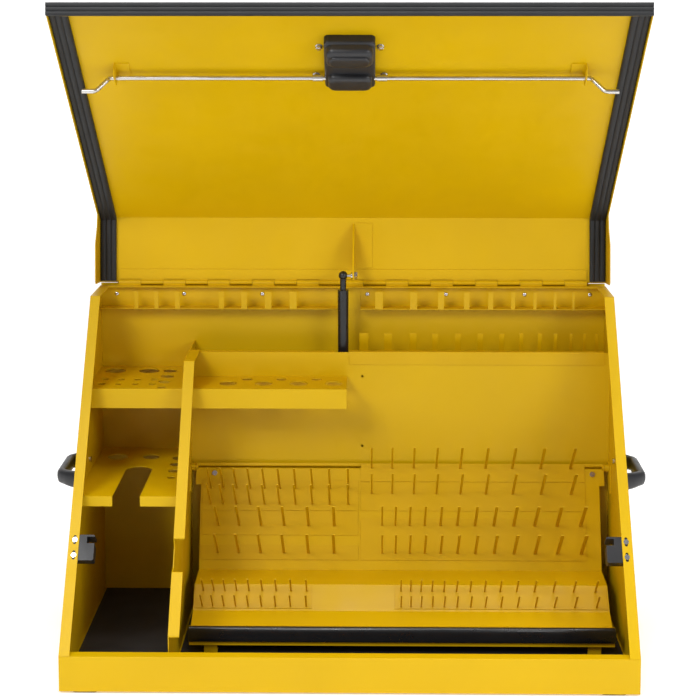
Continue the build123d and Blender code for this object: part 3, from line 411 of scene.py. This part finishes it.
def swept_grip(side):
    """Side handle: two flared feet joined by a rounded grip."""
    name = "handle_left" if side < 0 else "handle_right"
    low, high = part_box(name)
    wall_x = side * half_width
    reach = high[0] - low[0]
    y0, y1 = low[1], high[1]
    middle = (low[2] + high[2]) / 2
    path = []
    for k in range(25):
        t = k / 24
        bow = min(1.0, math.sin(math.pi * t) * 1.9) ** 0.8
        foot_share = max(0.0, 1 - math.sin(math.pi * t) * 2.6)
        path.append((y0 + 8 * MM + (y1 - y0 - 16 * MM) * t, (reach - 9 * MM) * bow, foot_share))
    rings = []
    for i, (y, out, foot_share) in enumerate(path):
        before, after = path[max(i - 1, 0)], path[min(i + 1, len(path) - 1)]
        along = Vector((side * (after[1] - before[1]), after[0] - before[0], 0)).normalized()
        if i in (0, len(path) - 1):
            along = Vector((side, 0, 0)) if i == 0 else Vector((-side, 0, 0))
        across = Vector((-along.y, along.x, 0))
        thick = (8 + 1 * foot_share) * MM * (0.95 if i in (0, len(path) - 1) else 1)
        tall = (12 + 2 * foot_share) * MM
        centre = Vector((wall_x + side * max(out, 0.0), y, middle))
        if out < 1 * MM:
            centre.x = wall_x + side * 0.2 * MM
        ring = []
        for k in range(20):
            a = 2 * math.pi * k / 20
            ca, sa = math.cos(a), math.sin(a)
            outward = thick * math.copysign(abs(ca) ** 0.8, ca)
            upward = tall * math.copysign(abs(sa) ** 0.8, sa)
            ring.append(centre + across * outward + Vector((0, 0, upward)))
        rings.append(ring)
    for ring in rings:
        for point in ring:
            point.x = side * min(max(side * point.x, half_width), half_width + reach)
    return lofted(rings)


for side, name in ((-1, "handle_left"), (1, "handle_right")):
    verts, faces = swept_grip(side)
    mesh_piece("grip_" + name, verts, faces, black_plastic, "cabinet", "black_plastic", name, smooth=45)


def rounded_ring(cx, cs, wide, tall, radius, n, panel=lid_front, steps=5):
    """A rounded rectangle in a lid panel's plane at height n."""
    radius = min(radius, wide / 2 - 0.1 * MM, tall / 2 - 0.1 * MM)
    ring = []
    corners = ((1, 1, 0), (-1, 1, 90), (-1, -1, 180), (1, -1, 270))
    for sx, ss, start in corners:
        for k in range(steps + 1):
            a = math.radians(start + 90 * k / steps)
            x = cx + sx * (wide / 2 - radius) + radius * math.cos(a)
            y = cs + ss * (tall / 2 - radius) + radius * math.sin(a)
            ring.append(panel.at(x, y, n))
    return ring


def mound(cx, cs, wide, tall, base_n, top_n, radius, crown):
    """A moulded hump with a rounded rim, standing from base_n to top_n."""
    rings = [rounded_ring(cx, cs, wide, tall, radius, base_n)]
    for k in range(6):
        a = math.radians(90 * k / 5)
        shrink = crown * (1 - math.cos(a))
        n = top_n - crown + crown * math.sin(a)
        rings.append(rounded_ring(cx, cs, wide - 2 * shrink, tall - 2 * shrink, radius, n))
    return lofted(rings)


housing_low, housing_high, housing_wide = 418 * MM, 536 * MM, 80 * MM
housing_deep = 34 * MM
housing_middle = (housing_low + housing_high) / 2
housing_long = housing_high - housing_low
hump_s = housing_high - 24 * MM
base_block = mound(
    0, housing_middle, housing_wide, housing_long, 0.1 * MM, 17 * MM, radius=7 * MM, crown=5 * MM
)
upper_hump = mound(
    0, hump_s, housing_wide - 6 * MM, 42 * MM, 10 * MM, housing_deep, radius=12 * MM, crown=9 * MM
)
lower_hump = mound(
    0, housing_low + 21 * MM, housing_wide - 10 * MM, 36 * MM, 10 * MM, housing_deep - 7 * MM,
    radius=10 * MM, crown=8 * MM,
)
housing = joined([base_block, upper_hump, lower_hump])
mesh_piece(
    "moulded_housing", *housing, black_plastic, "lid", "powder_coat", "latch_housing", smooth=40
)
band = mound(
    0, hump_s, 62 * MM, 22 * MM, housing_deep - 4 * MM, housing_deep + 4 * MM,
    radius=8 * MM, crown=3 * MM,
)
mesh_piece("moulded_band", *band, black_plastic, "lid", "black_plastic", "latch_band", smooth=40)


def ring_on(frame_axes, centre, radius, lift, sides, turn=0.0):
    """A regular ring of points; frame_axes are the two in-plane axes and the outward one."""
    u, v, w = frame_axes
    ring = []
    for k in range(sides):
        a = turn + 2 * math.pi * k / sides
        ring.append(centre + u * (radius * math.cos(a)) + v * (radius * math.sin(a)) + w * lift)
    return ring


def hex_nut(centre, axes, radius, tall):
    """A chamfered nut on a washer, with the end of its bolt."""
    washer = lofted([ring_on(axes, centre, radius * 1.15, lift, 24) for lift in (0.0, 0.8 * MM)])
    levels = ((radius, 0.8 * MM), (radius, tall - 0.8 * MM), (radius * 0.86, tall))
    nut = lofted([ring_on(axes, centre, r, lift, 6) for r, lift in levels])
    bolt_radius = radius * 0.5
    tip_radius = radius * 0.4
    levels = ((bolt_radius, tall - 1 * MM), (bolt_radius, tall), (tip_radius, tall + 0.4 * MM))
    bolt = lofted([ring_on(axes, centre, r, lift, 18) for r, lift in levels])
    return joined([washer, nut, bolt])


lid_axes = (Vector((1, 0, 0)), lid_front.along, lid_front.normal)
nut_places = ((-48, 507), (48, 507), (-54, 433), (54, 433))     # X and distance from the bend
nuts = []
for x, along in nut_places:
    nuts.append(hex_nut(lid_front.at(x * MM, along * MM, 0), lid_axes, 5.4 * MM, 5.4 * MM))
mesh_piece("latch_nuts", *joined(nuts), bright, "lid", "bright_steel", "latch_bolts", smooth=30)


def recessed_screw(centre, axes, radius, rise):
    """A round-headed screw with a cross recess."""
    count = 32
    rings = [ring_on(axes, centre, radius, 0.0, count)]
    for k in range(1, 6):
        a = math.radians(90 * k / 6)
        rings.append(ring_on(axes, centre, radius * math.cos(a) ** 0.6, rise * math.sin(a), count))
    u, v, w = axes
    for share, lift in ((0.42, rise), (0.36, rise * 0.35)):
        ring = []
        for k in range(count):
            a = 2 * math.pi * k / count
            lobe = 1.0 if k % 8 in (0, 1, 7) else 0.42
            reach = radius * share * lobe
            ring.append(centre + u * (reach * math.cos(a)) + v * (reach * math.sin(a)) + w * lift)
        rings.append(ring)
    return lofted(rings)


back_axes = (Vector((1, 0, 0)), Vector((0, 0, 1)), Vector((0, -1, 0)))
rack_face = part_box("comb_rack_screws")[1][1]
rack_screw_z = 556 * MM
screws = []
for x in (-427, -305, -163, 27, 169, 311, 429):
    centre = Vector((x * MM, rack_face, rack_screw_z))
    screws.append(recessed_screw(centre, back_axes, 4 * MM, 2.4 * MM))
mesh_piece(
    "rack_screws", *joined(screws), bright, "cabinet", "bright_steel", "comb_rack_screws", smooth=35
)


# A thin dust strip behind the hinge closes the slits between its knuckles.
strip_out = back_y + 9.2 * MM
strip_low, strip_high = top_z - 12 * MM, top_z + 3.2 * MM
strip_section = [
    (back_y + steel, strip_low),
    (strip_out, strip_low),
    (strip_out, strip_high),
    (strip_out - 0.8 * MM, strip_high),
    (strip_out - 0.8 * MM, strip_low + 0.8 * MM),
    (back_y + steel, strip_low + 0.8 * MM),
]
verts, faces = lofted([[(x, y, z) for y, z in strip_section] for x in (-half_width, half_width)])
mesh_piece("dust_strip", verts, faces, yellow, "cabinet", "powder_coat")


# ---- Floor, light and camera --------------------------------------------------------
def plain_floor():
    bpy.ops.mesh.primitive_plane_add(size=14, location=(0, 2, 0))
    floor = bpy.context.object
    floor.name = "floor"
    mat, nodes, links, shader = new_material("pale floor", (0.93, 0.93, 0.93), 0.6)
    shader.inputs["Emission Color"].default_value = (1, 1, 1, 1)
    shader.inputs["Emission Strength"].default_value = 0.3
    floor.data.materials.append(mat)
    bpy.ops.mesh.primitive_plane_add(size=16, location=(0, 5, 4), rotation=(math.pi / 2, 0, 0))
    backdrop = bpy.context.object
    backdrop.name = "backdrop"
    paper, nodes, links, shader = new_material("white backdrop", (0.95, 0.95, 0.95), 0.9)
    shader.inputs["Emission Color"].default_value = (1, 1, 1, 1)
    shader.inputs["Emission Strength"].default_value = 0.55
    backdrop.data.materials.append(paper)


def soft_light(name, place, aim, size, power, colour=(1, 1, 1)):
    data = bpy.data.lights.new(name, "AREA")
    data.shape = "RECTANGLE"
    data.size, data.size_y = size
    data.energy = power
    data.color = colour
    lamp = bpy.data.objects.new(name, data)
    lamp.location = place
    lamp.rotation_euler = (Vector(aim) - Vector(place)).to_track_quat("-Z", "Y").to_euler()
    bpy.context.collection.objects.link(lamp)


def studio():
    world = bpy.data.worlds.new("studio")
    world.use_nodes = True
    world.node_tree.nodes["Background"].inputs["Color"].default_value = (1, 1, 1, 1)
    world.node_tree.nodes["Background"].inputs["Strength"].default_value = 0.28
    bpy.context.scene.world = world
    soft_light("key", (-1.6, -2.6, 2.6), (0, 0, 0.5), (1.2, 1.2), 66)
    soft_light("fill", (2.2, -2.2, 1.6), (0, 0, 0.5), (1.2, 1.2), 30)
    soft_light("top", (0.2, -0.6, 2.8), (0, 0, 0.5), (1.4, 0.8), 46)


def camera():
    data = bpy.data.cameras.new("camera")
    data.sensor_width = 36
    data.lens = 85.56
    data.shift_y = -0.2714
    cam = bpy.data.objects.new("camera", data)
    cam.location = (35.07 * MM, front_y - 2.5179, 1.0971)
    cam.rotation_euler = (math.pi / 2 - 0.0997, 0, 0.0133)
    bpy.context.collection.objects.link(cam)
    bpy.context.scene.camera = cam


plain_floor()
studio()
camera()
bpy.context.scene.view_settings.view_transform = "Standard"
